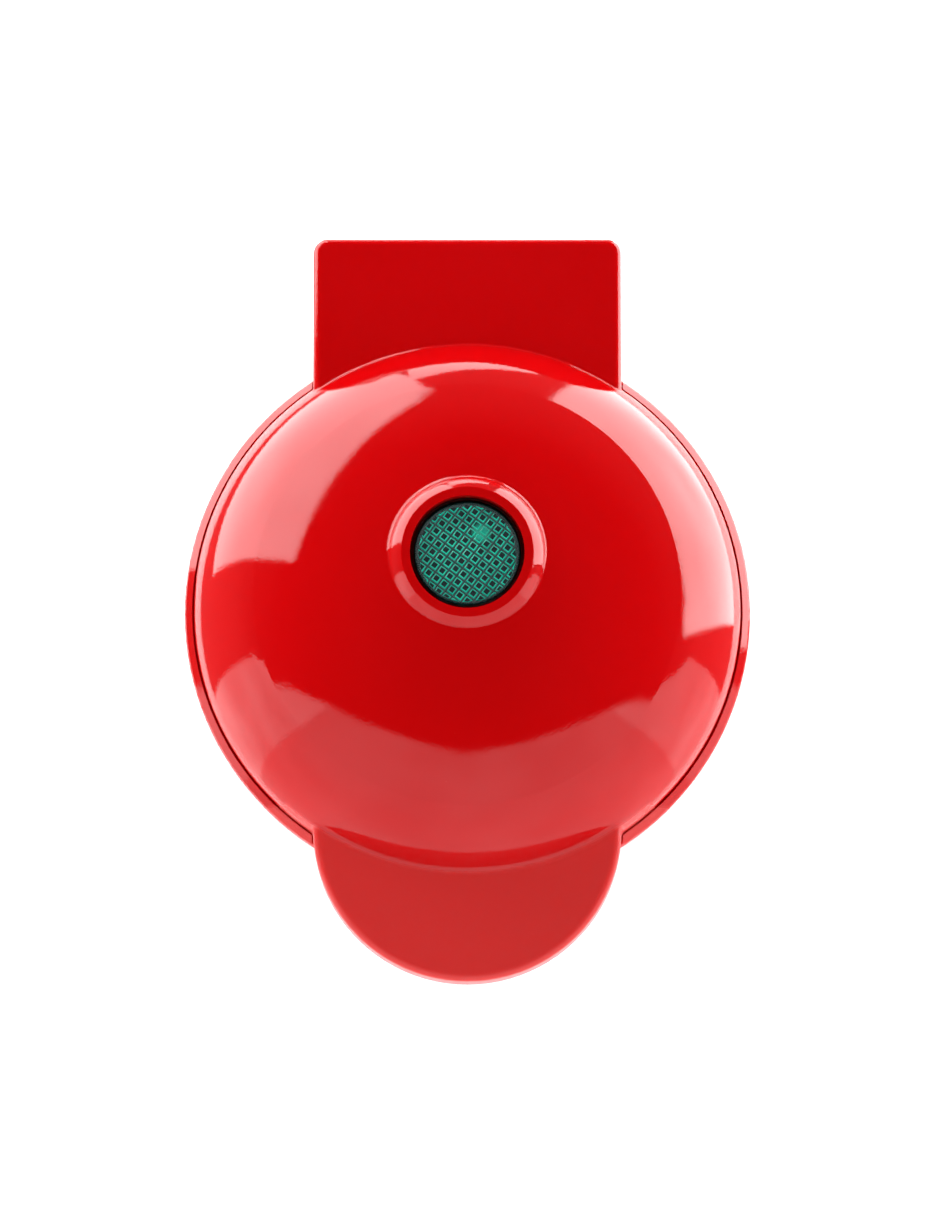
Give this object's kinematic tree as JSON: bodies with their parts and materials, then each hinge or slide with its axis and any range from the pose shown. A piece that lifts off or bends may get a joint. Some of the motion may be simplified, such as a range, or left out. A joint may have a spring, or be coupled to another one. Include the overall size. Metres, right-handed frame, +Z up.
{
  "type": "doughnut maker",
  "caption": "Round countertop doughnut maker: domed red lid with a green indicator, hinged on a round base that holds a ring mould.",
  "frame": {"origin": "on the table under the centre of the round body, midway between the handle's tip and the hinge cover's end", "axes": "+Z up, -Y towards the handle, +Y towards the hinge, +X to the right seen from the handle"},
  "size_m": [0.127, 0.169, 0.0704],
  "materials": {
    "red_shell": "glossy, smooth",
    "black_plastic": "fine grain",
    "black_rubber": "soft matt",
    "white_plastic": "satin",
    "board": "satin laminate",
    "nonstick": "satin non-stick coat",
    "element_steel": "heat tinted",
    "sheet_steel": "rolled",
    "screw_steel": "zinc plated",
    "ceramic_white": "unglazed",
    "green_lens": "polished, tinted",
    "green_prism": "moulded prisms",
    "lamp_glass": "clear"
  },
  "bodies": {
    "base": {"base_shell": "red_shell", "bottom_cover": "black_plastic", "rubber_feet": "black_rubber", "floor_screws": "screw_steel", "lower_plate": "nonstick", "lower_heating_element": "element_steel", "lower_heat_shield": "sheet_steel", "lower_plate_screws": "screw_steel", "thermostat": "ceramic_white", "thermal_fuse": "sheet_steel", "terminal_block": "white_plastic", "cord_bushing": "black_rubber", "hinge_pin": "screw_steel", "hinge_clips": "screw_steel"},
    "lid": {"lid_shell": "red_shell", "lid_liner": "black_plastic", "upper_plate": "nonstick", "upper_heating_element": "element_steel", "upper_heat_shield": "sheet_steel", "upper_plate_screws": "screw_steel", "indicator_lens": "green_lens", "prism_plate": "green_prism", "lamp_cup": "white_plastic", "lamp_board": "board", "indicator_lamp": "lamp_glass"}
  },
  "joints": [
    {"name": "lid_hinge", "type": "hinge", "parent": "base", "child": "lid", "pos_m": [0, 0.072, 0.0305], "axis": [-1, 0, 0], "range_deg": [0, 100]}
  ]
}
